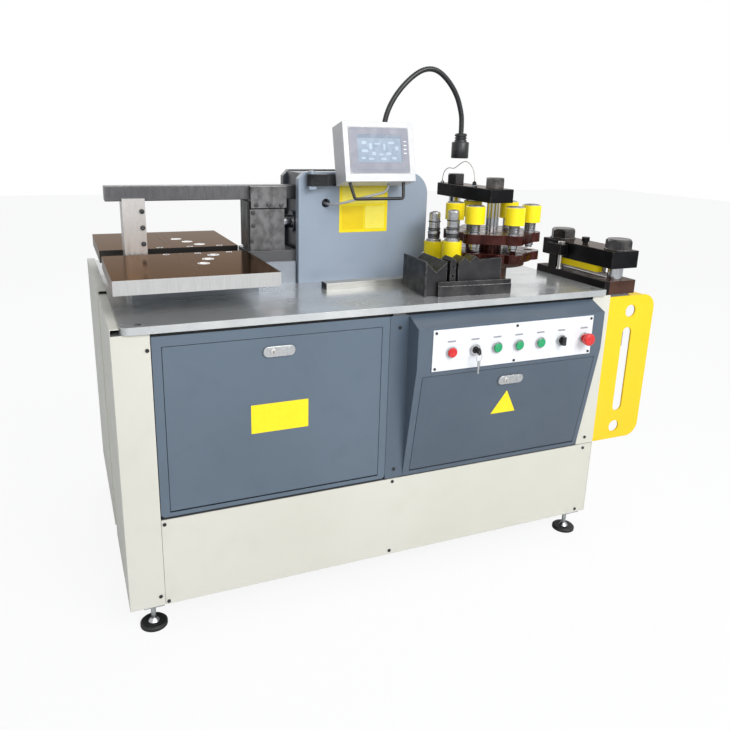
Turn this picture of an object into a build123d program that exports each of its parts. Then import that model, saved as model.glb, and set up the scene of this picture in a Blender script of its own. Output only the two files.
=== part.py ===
from build123d import *
import math
import os

os.makedirs("parts", exist_ok=True)

# Driving dimensions, in millimetres. Everything is drawn from the front left corner of the worktop:
# X runs right along its front edge, Y runs back, and Z is zero on its top face.
TOP_LENGTH = 1500
TOP_DEPTH = 1000
TOP_THICK = 20
TOP_HEIGHT = 888
SHEET = 2.2

# Where the bottom centre of the whole machine lies, seen from that corner
X_MID = 848.5
Y_MID = 454.5

# Cabinet
FRONT = 8
LEFT = -24
RIGHT = 1528.2
BOTTOM = -805
SPLIT = -541
POST_EDGE = 71
DOOR = dict(x0=98.5, x1=708.5, z0=-523, z1=-59.5)
CONSOLE = dict(x0=793, x1=1455, front=-53, shoulder=-57.5, elbow=-176, foot=-539)
SWITCH_Z = -133
SWITCH_X = dict(lamp=901, key=980, green=(1056, 1133, 1212), selector=1290, stop=1377)

# Bending station
BEND_Y = 480
TABLE_TOP = 107
TABLE_THICK = 38
SLOT = 106
RAM_Z = 188
RAM_R = 22.5
TIE = dict(x0=17, x1=700, z0=262, z1=305, wide=60)
HOUSING = dict(x0=585, x1=1039, top=349, plate=28, gap=134)

# Display, tilted back on its swing arm
DISPLAY = dict(x=819, y=300, z=415, wide=237, high=181, deep=86, tilt=13.7)
ARM_PIN = (622, 368)
ARM_Z = 308
ARM_HIGH = 36

# Lamp
LAMP_BASE = (905, 470)
LAMP_X = 1207

# Turret punch station
TURRET = (1200, 230)
STATION_R = 122
PUNCH_COLUMN_R = 20.5
PUNCH_STROKE = 28
BEAM_Z = 263
BEAM_HIGH = 43

# Shear station
SHEAR = (1571, 184)
SHEAR_SPAN = 276
SHEAR_COLUMN_R = 24
SHEAR_BEAM_Z = 64
SHEAR_BEAM_HIGH = 56

# Clearances: a running fit, and a gap between faces that pass each other
FIT = 0.05
GAP = 0.3


def box(x0, x1, y0, y1, z0, z1):
    size = (x1 - x0, y1 - y0, z1 - z0)
    middle = ((x0 + x1) / 2, (y0 + y1) / 2, (z0 + z1) / 2)
    return Pos(*middle) * Box(*size)


def rod_x(y, z, x0, x1, r):
    return Pos((x0 + x1) / 2, y, z) * Rot(0, 90, 0) * Cylinder(r, x1 - x0)


def rod_y(x, z, y0, y1, r):
    return Pos(x, (y0 + y1) / 2, z) * Rot(90, 0, 0) * Cylinder(r, y1 - y0)


def rod_z(x, y, z0, z1, r):
    return Pos(x, y, (z0 + z1) / 2) * Cylinder(r, z1 - z0)


def hex_nut(x, y, z0, z1, flats):
    # A hexagon whose upper corners are turned down to a cone
    corner = flats / math.sqrt(3)
    plan = Plane.XY.offset(z0) * Pos(x, y) * RegularPolygon(corner, 6)
    turned = chamfer(rod_z(x, y, z0, z1, corner + 0.1).faces().sort_by(Axis.Z)[-1].edges(),
                     (corner - flats / 2) * 1.3)
    return extrude(plan, z1 - z0) & turned


def slab_y(points, y0, y1):
    # An outline in X and Z, extruded along Y
    face = make_face(Polyline(*[(x, 0, z) for x, z in points], close=True))
    return Pos(0, y0, 0) * extrude(face, y1 - y0, dir=(0, 1, 0))


def slab_x(points, x0, x1):
    # An outline in Y and Z, extruded along X
    face = make_face(Polyline(*[(0, y, z) for y, z in points], close=True))
    return Pos(x0, 0, 0) * extrude(face, x1 - x0, dir=(1, 0, 0))


def on_circle(centre, radius, degrees):
    a = math.radians(degrees)
    return centre[0] + radius * math.cos(a), centre[1] + radius * math.sin(a)


def tube(name, points, diameter):
    # A cord's solid: straight runs joined by arcs as large as the runs allow
    route = [Vector(*p) for p in points]
    radii = []
    for before, here, after in zip(route, route[1:], route[2:]):
        turn = math.radians((here - before).get_angle(after - here))
        shorter = min((here - before).length, (after - here).length)
        radii.append(0.45 * shorter / math.tan(turn / 2))
    path = FilletPolyline(*route, radius=radii)
    start = Plane(origin=route[0], z_dir=route[1] - route[0])
    solid = sweep(start * Circle(diameter / 2), path=path)
    print(name, "length", round(path.length, 1), "radii", [round(r) for r in radii])
    print(name, "volume", round(solid.volume), "section x length",
          round(path.length * math.pi * diameter**2 / 4))
    return solid


def write(name, shape):
    placed = Pos(-X_MID, -Y_MID, TOP_HEIGHT) * shape
    placed.label = name
    export_step(placed, f"parts/{name}.step")


# Cabinet frame: posts, rails, floor and the sheet bin behind the toolbox door
frame = None
for x in (-21.5, 1485.5):
    for y in (10.5, 957.5):
        post = box(x, x + 40, y, y + 40, BOTTOM, -TOP_THICK)
        frame = post if frame is None else frame + post
frame += box(744, 784, 10.5, 50.5, BOTTOM, -TOP_THICK)
for z in (BOTTOM, -60):
    y_front = 10.5 if z == BOTTOM else 34
    frame += box(-21.5, 1525.5, y_front, y_front + 40, z, z + 40)
    frame += box(-21.5, 1525.5, 957.5, 997.5, z, z + 40)
    for x in (-21.5, 1485.5):
        frame += box(x, x + 40, 10.5, 997.5, z, z + 40)
frame += box(-21.5, 1525.5, 10.5, 50.5, -580, -543)
frame += box(-21.5, 1525.5, 10.5, 997.5, BOTTOM + 40, BOTTOM + 44)
frame += box(18, 744, 30.5, 420, -543, -540)
frame += box(80, 83, 34, 420, -541, -60)
frame += box(741, 744, 34, 420, -541, -60)
frame += box(80, 744, 417, 420, -541, -60)
frame += box(600, 1100, 440, 520, -60, -TOP_THICK)
frame += box(600, 640, 74, 957.5, -60, -TOP_THICK)
frame -= box(1485, 1530, 5, 400, -30, 0)
write("cabinet_frame", frame)

# Worktop plate with the rounded front left corner and the two punch column bores
worktop = box(0, TOP_LENGTH, 0, TOP_DEPTH, -TOP_THICK, 0)
corners = worktop.edges().filter_by(Axis.Z).sort_by(Axis.X)[:2]
worktop = fillet(corners, 22)
punch_columns_y = (TURRET[1], TURRET[1] + 2 * STATION_R)
for y in punch_columns_y:
    worktop -= rod_z(TURRET[0], y, -30, 10, PUNCH_COLUMN_R + FIT)
write("worktop", worktop)

# Left corner panel: folded sheet round the front corner, with a ledge beside the worktop
front_leg = box(LEFT, POST_EDGE, FRONT, FRONT + SHEET, BOTTOM, -21)
side_leg = box(LEFT, LEFT + SHEET, FRONT, 420.8, BOTTOM, -3)
ledge = box(LEFT, -0.5, FRONT, 420.8, -5.2, -3)
left_corner = front_leg + side_leg + ledge
outer = left_corner.edges().filter_by(Axis.Z).filter_by(
    lambda e: abs(e.center().X - LEFT) < 0.01 and abs(e.center().Y - FRONT) < 0.01)
left_corner = fillet(outer, 2)
write("left_corner_panel", left_corner)

# Left side panel: shallow tray that stands 3 mm proud of the corner panel
side = box(-27, LEFT + SHEET, 421, 1000, -770, 6)
side -= box(-24.8, LEFT + SHEET + 1, 423.2, 997.8, -767.8, 3.8)
lower = side.edges().filter_by(Axis.X).filter_by(lambda e: e.center().Z < -769.9)
side = fillet(lower, 1.5)
side += box(-27, -0.5, 421, 1000, 3.8, 6)
write("left_side_panel", side)

# Right side panel with the front post beside the console
right = box(1457, RIGHT, FRONT, FRONT + SHEET, SPLIT, -21)
right += box(RIGHT - SHEET, RIGHT, FRONT, 1000, BOTTOM, -21)
write("right_side_panel", right)

# Rear panel with louvre slots
rear = box(-21.5, 1525.5, 998, 1000, BOTTOM, -21)
for column in range(3):
    for row in range(6):
        x = 340 + 420 * column
        z = -260 - 22 * row
        rear -= box(x - 70, x + 70, 990, 1010, z, z + 8)
write("rear_panel", rear)

# Lower front panel
lower_panel = box(POST_EDGE + 0.8, 1525.5, FRONT, FRONT + SHEET, BOTTOM, SPLIT - 2)
write("lower_front_panel", lower_panel)

# Toolbox surround: flat frame with a rim folded back round the door opening
surround = box(73, 733, FRONT, FRONT + 2, -536, -30)
surround = fillet(surround.edges().filter_by(Axis.Y).sort_by(Axis.Z)[:2], 12)
surround += box(95, 712, FRONT, 30, -526, -56)
surround -= box(97, 710, 0, 40, -524, -58)
pivot_y = 15
pivot_z = -516.5
surround -= rod_x(pivot_y, pivot_z, 90, 720, 4 + FIT)
write("toolbox_surround", surround)

# Toolbox door: folded tray that drops down on two pivot pins
door = box(DOOR["x0"], DOOR["x1"], FRONT, 24, DOOR["z0"], DOOR["z1"])
foot_edge = door.edges().filter_by(Axis.X).filter_by(
    lambda e: e.center().Z < -522 and e.center().Y < 9)
door = fillet(foot_edge, 6)
door -= box(104, 703, FRONT + 2, 30, -505, -65)
door += box(378, 396, FRONT, 24, -110, -86)
door -= rod_y(387, -98, 0, 40, 6 + FIT)
door += rod_x(pivot_y, pivot_z, 92, 99, 4)
door += rod_x(pivot_y, pivot_z, 708, 715, 4)
write("toolbox_door", door)


def latch(plane):
    # Pill-shaped lever on a shaft through the door, with a tongue behind it
    pill = Pos(17, 0, 0.3) * extrude(SlotOverall(90, 30), 6)
    pill = fillet(pill.faces().sort_by(Axis.Z)[-1].edges(), 2)
    button = Pos(0, 0, 6.3) * extrude(Circle(9), 1.2)
    shaft = Pos(0, 0, -9) * Cylinder(6, 19)
    tongue = box(-8, 8, -8, 34, -21.5, -18.5)
    grip = Pos(44, 0, 6.3) * extrude(SlotOverall(20, 14, rotation=90), 1)
    return plane * (pill + button + shaft + tongue + grip)


door_face = Plane(origin=(387, FRONT, -98), x_dir=(1, 0, 0), z_dir=(0, -1, 0))
write("toolbox_latch", latch(door_face))

# Console: a hollow folded shell with a vertical switch face, a sloped door face and a side strip
c = CONSOLE
outline = [(10, -30), (c["front"], c["shoulder"]), (c["front"], c["elbow"]),
           (FRONT, c["foot"]), (10, c["foot"])]
inside = [(12, -32.5), (c["front"] + 2, c["shoulder"] - 1.5), (c["front"] + 2, c["elbow"] - 0.2),
          (4, -503), (12, -503)]
shell = slab_x(outline, c["x0"], c["x1"])
shell -= slab_x(inside, c["x0"] + 2, c["x1"] - 2)
shell += box(734, c["x0"] + 1, FRONT, FRONT + 2, c["foot"], -30)
all_switches = [SWITCH_X["lamp"], SWITCH_X["key"], *SWITCH_X["green"],
                SWITCH_X["selector"], SWITCH_X["stop"]]
for x in all_switches:
    shell -= rod_y(x, SWITCH_Z, c["front"] - 5, c["front"] + 8, 11.5)
rise = c["elbow"] - c["foot"]
run = FRONT - c["front"]
slope_length = math.hypot(rise, run)
outward = (0, -rise / slope_length, -run / slope_length)
slope = Plane(origin=(0, c["front"], c["elbow"]), x_dir=(1, 0, 0), z_dir=outward)
shell -= slope * box(814.5, 1437.5, -355, -28, -24, 5)
lug_y = -347
for x in (807, 1438):
    lug = box(x, x + 7, lug_y - 8, lug_y + 10, -14, -1)
    shell += slope * lug
shell -= slope * rod_x(lug_y, -7, 800, 1450, 3 + FIT)
write("console_shell", shell)

# Console door: tray in the sloped face, on two pivot pins at its foot
cdoor = box(816, 1436, -353.5, -29.5, -14, 0)
low_edge = cdoor.edges().filter_by(Axis.X).filter_by(
    lambda e: e.center().Y < -353 and e.center().Z > -1)
cdoor = fillet(low_edge, 6)
cdoor -= box(821, 1431, -338, -35, -20, -2)
cdoor += box(1098, 1116, -82, -58, -14, 0)
cdoor -= Pos(1107, -70, 0) * Cylinder(6 + FIT, 60)
cdoor += rod_x(lug_y, -7, 810, 817, 3)
cdoor += rod_x(lug_y, -7, 1435, 1442, 3)
write("console_door", slope * cdoor)
console_latch = latch(Plane(origin=slope.from_local_coords((1107, -70, 0)),
                            x_dir=(1, 0, 0), z_dir=outward))
write("console_latch", console_latch)

# Switch panel with the raised switch collars
panel = box(840, 1410, -55.5, c["front"], -188, -64)
for x in all_switches:
    panel += rod_y(x, SWITCH_Z, -60, -54, 15)
for x in all_switches:
    panel -= rod_y(x, SWITCH_Z, -70, -50, 11.2)
write("button_panel", panel)


def plunger(x, front, back=-38):
    button = rod_y(x, SWITCH_Z, front, back, 10.9)
    rim = button.faces().sort_by(Axis.Y)[0].edges()
    return fillet(rim, 1.5)


lens = rod_y(SWITCH_X["lamp"], SWITCH_Z, -68, -38, 11.2)
lens = fillet(lens.faces().sort_by(Axis.Y)[0].edges(), 4)
write("pilot_lamp", lens)
for side_name, x in zip(("left", "middle", "right"), SWITCH_X["green"]):
    write(f"green_button_{side_name}", plunger(x, -65))
x = SWITCH_X["selector"]
selector = plunger(x, -64) + box(x - 4.5, x + 4.5, -78, -62, SWITCH_Z - 13, SWITCH_Z + 13)
write("selector_knob", selector)
x = SWITCH_X["key"]
key = plunger(x, -63) + box(x - 1.3, x + 1.3, -70, -62, SWITCH_Z - 4, SWITCH_Z + 4)
bow = rod_x(-79, SWITCH_Z, x - 1.3, x + 1.3, 11) - rod_x(-82, SWITCH_Z, x - 2, x + 2, 3)
write("switch_key", key + bow)
x = SWITCH_X["stop"]
mushroom = rod_y(x, SWITCH_Z, -91, -77, 19.5)
mushroom = fillet(mushroom.faces().sort_by(Axis.Y)[0].edges(), 6)
write("stop_button", mushroom + rod_y(x, SWITCH_Z, -78, -38, 10.9))

# Levelling feet: pad, cone, stud and nut under a mounting plate
feet = None
for x in (40, 1480):
    for y in (48, 952):
        foot = rod_z(x, y, -TOP_HEIGHT, -TOP_HEIGHT + 12, 38)
        foot = chamfer(foot.faces().sort_by(Axis.Z)[-1].edges(), 4)
        foot += Pos(x, y, -TOP_HEIGHT + 17) * Cone(16, 9, 10)
        foot += rod_z(x, y, -870, BOTTOM - 6, 7)
        foot += hex_nut(x, y, BOTTOM - 18, BOTTOM - 6, 24)
        foot += box(x - 28, x + 28, y - 36, y + 24, BOTTOM - 6, BOTTOM)
        feet = foot if feet is None else feet + foot
write("levelling_feet", feet)

# Yellow bracket plate at the right end, with two round holes and a slot
plate = slab_y([(RIGHT, -541), (1724, -541), (1724, -29), (RIGHT, -29)], 10, 16)
round_corners = plate.edges().filter_by(Axis.Y).filter_by(lambda e: e.center().X > 1700)
plate = fillet(round_corners, 48)
plate -= rod_y(1624, -82, 0, 30, 21)
plate -= rod_y(1617, -495, 0, 30, 21)
for z in (-157, -419):
    plate -= rod_y(1620, z, 0, 30, 19)
plate -= box(1601, 1639, 0, 30, -419, -157)
plate += box(RIGHT, RIGHT + 6, 12, 46, -541, -215)
plate += box(1718, 1724, 12, 34, -490, -80)
plate += box(1618, 1674, 12, 52, -35, -29)
write("side_bracket", plate)

# Cover, panel and post screws: low button heads, one node
screws = None
cover_spots = [(63, -64), (59, -776), (80, -556), (80, -796), (760, -552), (759, -792),
               (1489, -557), (1486, -792), (765, -65), (763, -511), (1491, -517)]
heads = [rod_y(x, z, FRONT - 2.4, FRONT, 5) for x, z in cover_spots]
panel_spots = [(849, -73), (1124, -73), (1401, -73), (849, -180), (1121, -181), (1401, -180)]
heads += [rod_y(x, z, -57.5, -55.5, 4) for x, z in panel_spots]
heads += [rod_y(117, z, 436, 440, 6) for z in (137, 185, 233)]
screws = heads[0]
for head in heads[1:]:
    screws += head
write("cover_screws", screws)

# Bending station: two side plates, the cylinder block, tie bar, post, tables and supports
h = HOUSING
half = h["gap"] / 2


def side_plate(y0):
    shape = slab_y([(h["x0"], 0), (957, 0), (h["x1"], 88), (h["x1"], h["top"]),
                    (h["x0"] + 19, h["top"]), (h["x0"], h["top"] - 20)], y0, y0 + h["plate"])
    corner = shape.edges().filter_by(Axis.Y).filter_by(
        lambda e: e.center().X > h["x1"] - 1 and e.center().Z > h["top"] - 1)
    return fillet(corner, 74)


front_y = BEND_Y - half - h["plate"]
pin_x, pin_y = ARM_PIN
front_plate = side_plate(front_y)
front_plate -= rod_y(676, 253, 380, 420, 14)
front_plate += box(pin_x - 12, pin_x + 12, pin_y - 12, front_y, ARM_Z - 10, ARM_Z - GAP)
front_plate += rod_z(pin_x, pin_y, ARM_Z - 4, ARM_Z + ARM_HIGH + 3, 7)
front_plate += rod_z(pin_x, pin_y, ARM_Z + ARM_HIGH + GAP, ARM_Z + ARM_HIGH + 8, 11)
write("front_housing_plate", front_plate)
write("rear_housing_plate", side_plate(BEND_Y + half))

block = box(598, 985, BEND_Y - half, BEND_Y + half, 0, 345)
block -= slab_y([(950, -1), (1001, -1), (1001, 50), (1000, 49.5)], 400, 560)
block += rod_x(BEND_Y, RAM_Z, 590, 599, 34)
block -= rod_x(BEND_Y, RAM_Z, 585, 870, RAM_R + FIT)
tie_half = TIE["wide"] / 2
block -= box(590, TIE["x1"], BEND_Y - tie_half, BEND_Y + tie_half, TIE["z0"], TIE["z1"])
block -= rod_z(*LAMP_BASE, 318, 350, 8 + FIT)
write("bending_cylinder", block)

tie_bar = box(TIE["x0"], TIE["x1"], BEND_Y - tie_half, BEND_Y + tie_half, TIE["z0"], TIE["z1"])
write("tie_bar", chamfer(tie_bar.edges().filter_by(Axis.X), 2))

post = box(62, 127, BEND_Y - 40, BEND_Y + 40, 0, 270)
post -= box(60, 130, BEND_Y - tie_half, BEND_Y + tie_half, TIE["z0"], 280)
write("anvil_post", post)


def table(sign):
    # sign is -1 for the front table and 1 for the back one
    near = BEND_Y + sign * SLOT / 2
    far = BEND_Y + sign * 429
    y0, y1 = sorted((near, far))
    top = box(-6, 425, y0, y1, TABLE_TOP - TABLE_THICK, TABLE_TOP)
    for x in (177, 271, 367):
        top -= rod_z(x, BEND_Y + sign * 69, 50, 120, 7)
    for x, offset in ((310, 109), (281, 175), (255, 243)):
        top -= rod_z(x, BEND_Y + sign * offset, 50, 120, 15)
    for x in (203, 222):
        a, b = sorted((BEND_Y + sign * 60, BEND_Y + sign * 395))
        top -= box(x, x + 1.2, a, b, TABLE_TOP - 0.6, TABLE_TOP + 1)
    return top


write("front_table", table(-1))
write("back_table", table(1))

supports = box(60, 586, 400, 425, 0, 69) + box(60, 430, 300, 425, 0, 69)
supports += box(60, 586, 535, 560, 0, 69) + box(60, 430, 535, 660, 0, 69)
supports += box(430, 585, 400, 560, 0, 69)
supports += box(430, 585, 412, 548, 60, 104)
supports -= box(580, 600, 380, 413, -5, 80)
supports -= box(580, 600, 547, 580, -5, 80)
supports -= box(585, 600, 380, 580, -5, 120)
write("table_supports", supports)

# Ram: rod, block with its face plate, and the saddle that slides along the tie bar
write("ram_rod", rod_x(BEND_Y, RAM_Z, 553, 850, RAM_R))
ram = box(441, 553, 431, 529, 104.3, 233)
ram += box(434, 441, 436, 524, 112, 257)
write("ram_block", ram)
saddle = box(444, 559, 428, 532, 236, 303)
saddle += box(446, 553, 433, 527, 233, 237)
saddle -= box(430, 560, 450 - GAP, 510 + GAP, TIE["z0"] - GAP, 310)
for x in (461, 501, 542):
    saddle += rod_y(x, 246, 425, 429, 5.5)
write("ram_saddle", saddle)

# Swing arm and display case with its handle
arm_top = ARM_Z + ARM_HIGH
arm = box(pin_x, 806, pin_y - 15, pin_y + 15, ARM_Z, arm_top)
arm += rod_z(pin_x, pin_y, ARM_Z, arm_top, 15)
arm -= rod_z(pin_x, pin_y, ARM_Z - 1, arm_top + 1, 7 + FIT)
d = DISPLAY
tilt = math.radians(d["tilt"])
normal = (0, -math.cos(tilt), math.sin(tilt))
face = Plane(origin=(d["x"], d["y"], d["z"]), x_dir=(1, 0, 0), z_dir=normal)
back_space = face * box(-150, 150, -150, 150, -d["deep"], 60)
arm -= back_space
write("display_arm", arm)

case = box(-d["wide"] / 2, d["wide"] / 2, -d["high"] / 2, d["high"] / 2, -d["deep"], 0)
back_edges = case.faces().sort_by(Axis.Z)[0].edges()
case = chamfer(back_edges, 3)
case -= box(-101.5, 101.5, -66, 74, -3, 1)
case += box(-100.5, 100.5, -65, 73, -3.5, 1.5)
case -= box(-74, 74, -33, 51, 0.7, 3)
under = -d["high"] / 2
grip = FilletPolyline((-98, under + 4, -22), (-84, under - 50, -22), (82, under - 50, -22),
                      (86, under + 4, -22), radius=9)
handle = sweep(Plane(origin=grip @ 0, z_dir=grip % 0) * Circle(5), path=grip)
write("display_case", face * (case + handle))

# Conduit from the hole in the housing to the underside of the display
entry = (862, 321.9, 316.2)
conduit_points = [(676, 412, 253), (677, 376, 251), (695, 349, 252), (729, 338, 260),
                  (770, 331, 271), (815, 323, 282), (862, 316.3, 293), entry]
conduit = tube("display_conduit", conduit_points, 8)
write("display_conduit", conduit)

# Gooseneck on its swivel foot, and the lamp head
bx, by = LAMP_BASE
goose_line = [(905, 360), (905, 430), (909, 492), (923, 548), (957, 603), (1005, 651),
              (1052, 679), (1100, 679), (1147, 645), (1184, 597), (1204, 540), (1207, 508), (1207, 476)]
gooseneck = tube("gooseneck", [(x, by, z) for x, z in goose_line], 18)
gooseneck += rod_z(bx, by, 345 + GAP, 362, 15) + rod_z(bx, by, 322, 347, 8)
write("gooseneck", gooseneck)
head = rod_z(LAMP_X, by, 392, 448, 30) + rod_z(LAMP_X, by, 446, 476, 21)
head -= rod_z(LAMP_X, by, 390, 430, 26)
write("lamp_head", head)


def turret_disc(z0, z1, bore):
    disc = rod_z(*TURRET, z0, z1, 134)
    for k in range(6):
        disc += rod_z(*on_circle(TURRET, STATION_R, 30 + 60 * k), z0, z1, 34)
    for k in range(6):
        disc -= rod_z(*on_circle(TURRET, STATION_R, 30 + 60 * k), z0 - 1, z1 + 1, bore)
    return disc


# Turret: upper punch disc and lower die disc, joined by a sleeve that turns on the front column
column_bore = PUNCH_COLUMN_R + FIT
upper = turret_disc(142, 172, 19 + FIT) + rod_z(*TURRET, 137, 150, 46)
upper -= rod_z(*TURRET, 130, 180, column_bore)
write("upper_disc", upper)
lower_disc = turret_disc(84, 112, 15) + rod_z(*TURRET, 111, 137, 36)
for k in range(6):
    spacer = on_circle(TURRET, 84, 60 * k)
    lower_disc += rod_z(*spacer, 111, 142, 6)
lower_disc -= rod_z(*TURRET, 60, 140, column_bore)
write("lower_disc", lower_disc)


def punch(x, y):
    outline = [(0, 122), (11, 122), (11, 127), (14, 129), (14, 141), (19, 145), (19, 176),
               (15, 177), (15, 203), (31, 203), (31, 255),
               (29, 257), (26, 257), (26, 259.5), (0, 259.5)]
    section = make_face(Polyline(*[(r, 0, z) for r, z in outline], close=True))
    return Pos(x, y, 0) * revolve(section, Axis.Z)


working = on_circle(TURRET, STATION_R, 90)
write("working_punch", punch(*working))
idle = None
for degrees in (30, 150, 210, 270, 330):
    one = punch(*on_circle(TURRET, STATION_R, degrees))
    idle = one if idle is None else idle + one
write("idle_punches", idle)

# Turret pedestal on the worktop, with a block under the working station
base = rod_z(*TURRET, 66, 84 - GAP, 112) + rod_z(*TURRET, 0, 68, 58)
base += box(TURRET[0] - 42, TURRET[0] + 42, working[1] - 38, working[1] + 38, 0, 84 - GAP)
base -= rod_z(*TURRET, -5, 90, column_bore)
base -= rod_z(*working, 50, 90, 16)
write("turret_base", base)

# Punch press: beam with a sensor boss, and two columns with nuts
beam = box(TURRET[0] - 43, TURRET[0] + 43, TURRET[1] - 46, punch_columns_y[1] + 54,
           BEAM_Z, BEAM_Z + BEAM_HIGH)
beam = chamfer(beam.edges(), 1.5)
for y in punch_columns_y:
    beam -= rod_z(TURRET[0], y, 250, 320, 18)
sensor = (1172, 308)
beam += rod_z(*sensor, 305, 322, 6)
write("punch_beam", beam)
columns = None
beam_top = BEAM_Z + BEAM_HIGH
for y in punch_columns_y:
    column = rod_z(TURRET[0], y, -120, BEAM_Z, PUNCH_COLUMN_R)
    column += rod_z(TURRET[0], y, BEAM_Z - 1, beam_top + 30, 18)
    column += hex_nut(TURRET[0], y, beam_top, beam_top + 34, 55)
    columns = column if columns is None else columns + column
write("punch_columns", columns)
wire_points = [(1172, 308, 322), (1172, 308, 347), (1171, 334, 377), (1170, 371, 388),
               (1169, 407, 373), (1168, 438, 357), (1166, 472, 362), (1164, 506, 341),
               (1164, 506, 306)]
write("sensor_wire", tube("sensor_wire", wire_points, 3))

# Shear station: base with the lower blade, and the beam with its columns, pad and upper blade
sx, sy = SHEAR
shear_columns_y = (sy - SHEAR_SPAN / 2, sy + SHEAR_SPAN / 2)
shear_base = box(TOP_LENGTH, 1625, 8, 362, -TOP_THICK, 24)
shear_base += box(TOP_LENGTH, 1516, 262, 300, 20, 112)
shear_base += box(1486, 1516, 226, 300, 76, 112)
for y in shear_columns_y:
    shear_base -= rod_z(sx, y, -30, 40, SHEAR_COLUMN_R + FIT)
shear_base -= box(1543, 1557.4, 70, 298, 0, 30)
shear_base -= box(1557.4, 1572, 74, 294, 4, 30)
shear_base -= rod_z(1500, 240, 70, 120, 7 + FIT)
write("shear_base", shear_base)
write("lower_blade", box(1557.4, 1572, 74, 294, 4, 24))
write("upper_blade", box(1545, 1557, 74, 294, 38, SHEAR_BEAM_Z))
shear_beam = box(sx - 54, sx + 54, 8, 362, SHEAR_BEAM_Z, SHEAR_BEAM_Z + SHEAR_BEAM_HIGH)
shear_beam = chamfer(shear_beam.edges(), 1.5)
for y in shear_columns_y:
    shear_beam -= rod_z(sx, y, 50, 130, 20)
shear_beam += rod_z(1560, 190, 118, 128, 9) + rod_z(1560, 190, 127, 142, 13)
shear_beam += box(1519, 1543, 76, 258, 42, 65)
write("shear_beam", shear_beam)
shear_columns = None
shear_top = SHEAR_BEAM_Z + SHEAR_BEAM_HIGH
for y in shear_columns_y:
    column = rod_z(sx, y, -150, SHEAR_BEAM_Z, SHEAR_COLUMN_R)
    column += rod_z(sx, y, SHEAR_BEAM_Z - 1, shear_top + 30, 20)
    column += rod_z(sx, y, shear_top, shear_top + 4, 44)
    column += hex_nut(sx, y, shear_top + 4, shear_top + 36, 75)
    shear_columns = column if shear_columns is None else shear_columns + column
write("shear_columns", shear_columns)
hold_down = rod_z(1500, 240, 26, 118, 7) + hex_nut(1500, 240, 112 + GAP, 122, 22)
hold_down += rod_z(1500, 240, 26, 32, 10)
write("hold_down_screw", hold_down)

# Press cylinders hung under the worktop and under the shear base
punch_cylinder = box(1150, 1250, 180, 524, -190, -TOP_THICK)
for y in punch_columns_y:
    punch_cylinder -= rod_z(TURRET[0], y, -160, 0, column_bore)
shear_cylinder = box(1532, 1612, 18, 350, -205, -TOP_THICK)
for y in shear_columns_y:
    shear_cylinder -= rod_z(sx, y, -178, 0, SHEAR_COLUMN_R + FIT)
write("press_cylinders", punch_cylinder + shear_cylinder)

# Hydraulic power unit on the cabinet floor: tank, motor and pump flange
tank_floor = BOTTOM + 44
power = box(880, 1340, 520, 900, tank_floor, -520)
power += rod_z(1000, 700, -521, -270, 85)
power += rod_z(1000, 700, -270, -255, 60)
power += rod_z(1230, 640, -521, -480, 35)
power += box(1120, 1300, 760, 860, -521, -440)
write("power_unit", power)

# Loose tooling that rests on the worktop, clear of the circle that the turret sweeps
turned = Pos(884, 84, 0) * Rot(0, 0, -4.4)
die_outline = [(0, 0), (0, 104), (33, 72), (67, 104), (67, 28), (78, 28), (78, 106), (87, 115),
               (96, 106), (96, 28), (105, 28), (105, 98), (125, 116), (142, 101), (161, 118),
               (178, 103), (180, 107), (249, 111), (249, 0)]
die = slab_y(die_outline, 0, 180)
for z in (60, 88):
    die -= rod_y(87, z, -5, 190, 3.5)
die -= box(178, 260, 20, 190, -1, 130)
die -= box(160, 179, 46, 190, -1, 130)
die -= box(72, 161, 60, 190, -1, 130)
write("v_die_block", turned * die)
write("die_end_plate", turned * box(-4, 0, -4, 138, 0, 106))
bar = box(0, 246, 0, 12, 0, 45)
bar -= box(-1, 247, -1, 3, 32, 46)
wide_bar = Pos(634, 262, 0) * Rot(0, 0, 1.7) * box(0, 290, 0, 40, 0, 20)
write("die_bars", Pos(919, 67, 0) * Rot(0, 0, -4.4) * bar + wide_bar)


def spare(x, y, stand):
    # An inverted punch: cap below, guide above, on a round die holder of the given height
    outline = [(0, 0), (29, 0), (29, stand), (31, stand), (31, stand + 54), (24, stand + 54),
               (24, stand + 62), (18, stand + 62), (18, stand + 78), (21, stand + 79),
               (21, stand + 86), (18, stand + 87), (18, stand + 144), (15, stand + 149),
               (0, stand + 149)]
    section = make_face(Polyline(*[(r, 0, z) for r, z in outline], close=True))
    return Pos(x, y, 0) * revolve(section, Axis.Z)


write("spare_punches", spare(1023, 297, 79) + spare(1018, 172, 97))
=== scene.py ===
import math

import bmesh
import bpy
from mathutils import Matrix, Vector


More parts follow.
